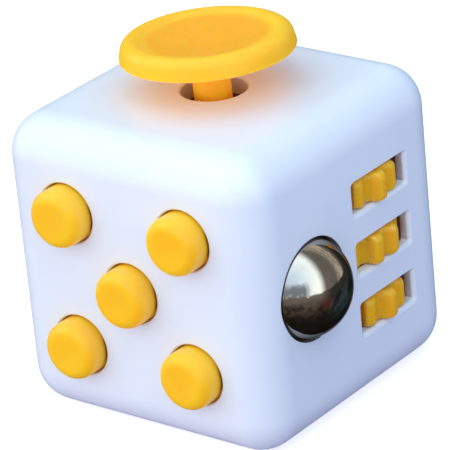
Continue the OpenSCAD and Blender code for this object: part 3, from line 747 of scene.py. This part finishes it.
def joystick():
    lean_back, lean_left = (math.radians(sum(JOINTS[name]["range_deg"]) / 2)
                            for name in ("joystick_front_back", "joystick_left_right"))
    pivot = Vector(JOINTS["joystick_front_back"]["pos_m"]) / MM
    leant = (Matrix.Translation(pivot) @ Matrix.Rotation(-lean_back, 4, "X")
             @ Matrix.Rotation(-lean_left, 4, "Y"))
    radius, thick, lift, dish_depth = 9.25, 2.25, 10.75, 0.5
    lower_round, upper_round, inner_round, draft, draft_angle = 0.35, 1.2, 1.5, 0.18, 12
    crest = radius - draft - upper_round
    profile = [(0, 0)]
    profile += arc(radius - lower_round, lower_round, lower_round, -90, draft_angle, 8)
    profile += arc(crest, thick - upper_round, upper_round, draft_angle, 90, 12)
    profile += arc(crest, thick - inner_round, inner_round, 90, 128, 6)[1:]
    dish_r, dish_edge_z = profile[-1]
    sphere_r = sphere_radius(dish_r, dish_depth)
    for i in range(1, 17):
        at = dish_r * (1 - i / 16)
        profile.append((at, dish_edge_z - dish_depth + sphere_r
                        - math.sqrt(sphere_r ** 2 - at ** 2)))
    bm = lathe(profile, 160)
    bm.transform(leant @ Matrix.Translation((0, 0, lift)))
    # The cap's underside glows: painted light coming through the cap.
    finish_piece("thumb_cap", bm, "joystick_cap", "yellow_plastic", finish=DISH_SHADED_YELLOW,
                 beneath=LIT_YELLOW)

    foot, foot_r, foot_h, post_r, neck_round = -3.1, 1.6, 1.8, 2.0, 0.35
    profile = [(0, foot), (foot_r, foot), (foot_r, foot + foot_h), (post_r, foot + foot_h),
               (post_r, lift - neck_round)]
    profile += arc(post_r + neck_round, lift - neck_round, neck_round, 180, 90, 5)[1:]
    profile += [(post_r + neck_round, lift + PLAY), (0, lift + PLAY)]
    bm = combine(lathe(profile, 64), [pin_bore("gimbal_inner_pin", "X", (0, 0, 0))])
    bm.transform(leant)
    finish_piece("joystick_post", bm, "joystick_stem", "yellow_plastic", finish=LIT_STEM_YELLOW)


# ---- Ball, its spring and the gears ----

def steel_ball():
    low, high, middle = node_box("steel_ball")
    finish_piece("bearing_ball", ball((high.z - low.z) / 2, middle), "steel_ball",
                 "polished_steel")


def ball_spring():
    low, high, middle = node_box("ball_spring")
    wire, turns, steps = 0.2, 3, 32
    coil, climb = (high.y - low.y) / 2 - wire, high.x - low.x - 2 * wire
    rings = []
    for i in range(turns * steps + 1):
        angle = math.tau * i / steps
        rings.append([(r * math.cos(angle), r * math.sin(angle), z + climb * i / (turns * steps))
                      for r, z in arc(coil, wire, wire, 0, 360, 12)[:-1]])
    bm = loft(rings)
    bm.transform(on_face("right", middle.y, middle.z - CENTRE.z, low.x - HALF))
    piece = finish_piece("coil_spring_ball", bm, "ball_spring", SLOTS["ball_spring"])
    flatten(piece)


GEAR_TURNS = {"upper": -3.0, "middle": 20.0, "lower": 1.0}
TEETH, TIP_R, ROOT_R, GEAR_T, TOOTH_ROUND = 10, 5.3, 4.3, 3.2, 0.7


def gear(name):
    low, high, middle = node_box("gear_" + name)
    steps = TEETH * 24
    outline = []
    for i in range(steps):
        angle = math.tau * i / steps
        wave = (1 + math.cos(TEETH * angle)) / 2
        radius = ROOT_R + (TIP_R - ROOT_R) * wave ** 2 * (3 - 2 * wave)
        turned = angle + math.radians(GEAR_TURNS[name])
        outline.append(Vector((radius * math.cos(turned), radius * math.sin(turned))))

    def toothed(inwards, z):
        return [(*(p * (1 - inwards / TIP_R)), z) for p in outline]

    def circle(radius, z):
        return [(*(p.normalized() * radius), z) for p in outline]

    half, hub, hub_r, bore = GEAR_T / 2, (high.z - low.z) / 2, 2.4, 1.05
    rings = [toothed(TOOTH_ROUND - x, z)
             for x, z in arc(0, half - TOOTH_ROUND, TOOTH_ROUND, 0, 90, 8)]
    rings += [circle(hub_r, half), circle(hub_r, hub - 0.1), circle(hub_r - 0.1, hub),
              circle(bore, hub)]
    rings += [[(x, y, -z) for x, y, z in ring] for ring in rings[::-1]]
    bm = loft(rings, around=True)
    bm.transform(Matrix.Translation(middle))
    finish_piece("finger_gear_" + name, bm, "gear_" + name, "yellow_plastic",
                 finish=SHADED_GEAR_YELLOW)


# ---- Flip switch and dial ----

def rocker():
    """A switch with two flat halves that meet in a valley, and a lug below for its spring."""
    low, high, _ = node_box("rocker_switch")
    width, end_r, pivot, tilt, valley = high.x - low.x, 7.4, -2.7, math.radians(10), 0.25
    under, lug_z, lug_top, lug_tip = -4.2, -5.05, 0.7, 0.4
    rise = math.tan(tilt)
    reaches = (end_r * i / 400 for i in range(400))
    reach = next(r for r in reaches if math.hypot(r, valley + r * rise - pivot) > end_r)
    end_angle = math.degrees(math.atan2(valley + reach * rise - pivot, reach))
    under_angle = math.degrees(math.asin((under - pivot) / end_r))
    side = arc(0, pivot, end_r, under_angle, end_angle, 24)
    outline = side + [(0, valley)] + [(-x, z) for x, z in side[::-1]]
    outline += [(-lug_top, under), (-lug_tip, lug_z), (lug_tip, lug_z), (lug_top, under)]
    bm = loft([[(x, y, z) for y, z in outline] for x in (-width / 2, width / 2)])
    edges = [e for e in bm.edges if e.calc_face_angle(0) > math.radians(25)]
    bmesh.ops.bevel(bm, geom=edges, offset=0.35, offset_type="OFFSET", segments=5, profile=0.5,
                    affect="EDGES", clamp_overlap=True)
    bm = combine(bm, [pin_bore("rocker_pin", "Y", (0, 0, pivot))])
    bm.transform(ON_FACE["back"] @ Matrix.Translation((0, 0, pivot))
                 @ Matrix.Rotation(tilt, 4, "X") @ Matrix.Translation((0, 0, -pivot)))
    finish_piece("flip_switch", bm, "rocker_switch", "yellow_plastic")


def dial():
    """A disc with a sunk middle, and a nub near its edge for a fingertip."""
    proud, back, radius, rim, sunk = 1.7, -0.65, 9.0, 0.7, 0.4
    nub_r, nub_proud, nub_round, nub_foot, nub_off = 1.8, 1.1, 0.8, 0.3, 5.6
    floor_z, top = proud - sunk, proud + nub_proud
    profile = [(0, back), (radius, back)] + arc(radius - rim, proud - rim, rim, 0, 90, 8)
    profile += [(radius - 1.6, proud)]
    profile += arc(radius - 2.0, proud, sunk, 0, -90, 4)[1:] + [(0, floor_z)]
    nub = lathe([(0, 0), (nub_r + nub_foot, 0), (nub_r + nub_foot, floor_z)]
                + arc(nub_r + nub_foot, floor_z + nub_foot, nub_foot, -90, -180, 5)[1:]
                + arc(nub_r - nub_round, top - nub_round, nub_round, 0, 90, 8)
                + [(0, top - 0.05)], 64)
    nub.transform(Matrix.Translation((0, nub_off, 0)))
    bm = combine(lathe(profile, 128), [nub], "UNION")
    bm.transform(ON_FACE["left"])
    finish_piece("spin_dial_disc", bm, "spin_dial", "yellow_plastic")


shell()
base_cover()
for place in BUTTONS:
    button(place)
joystick()
steel_ball()
for place in GEARS:
    gear(place)
rocker()
dial()
for place in BUTTONS:
    dome(place)
ball_spring()

# ---- Inner CAD parts keep their shapes and get their real finishes ----

for node, part in frame["nodes"].items():
    for holder in part.material_slots:
        holder.material = MATERIALS[SLOTS[node]]
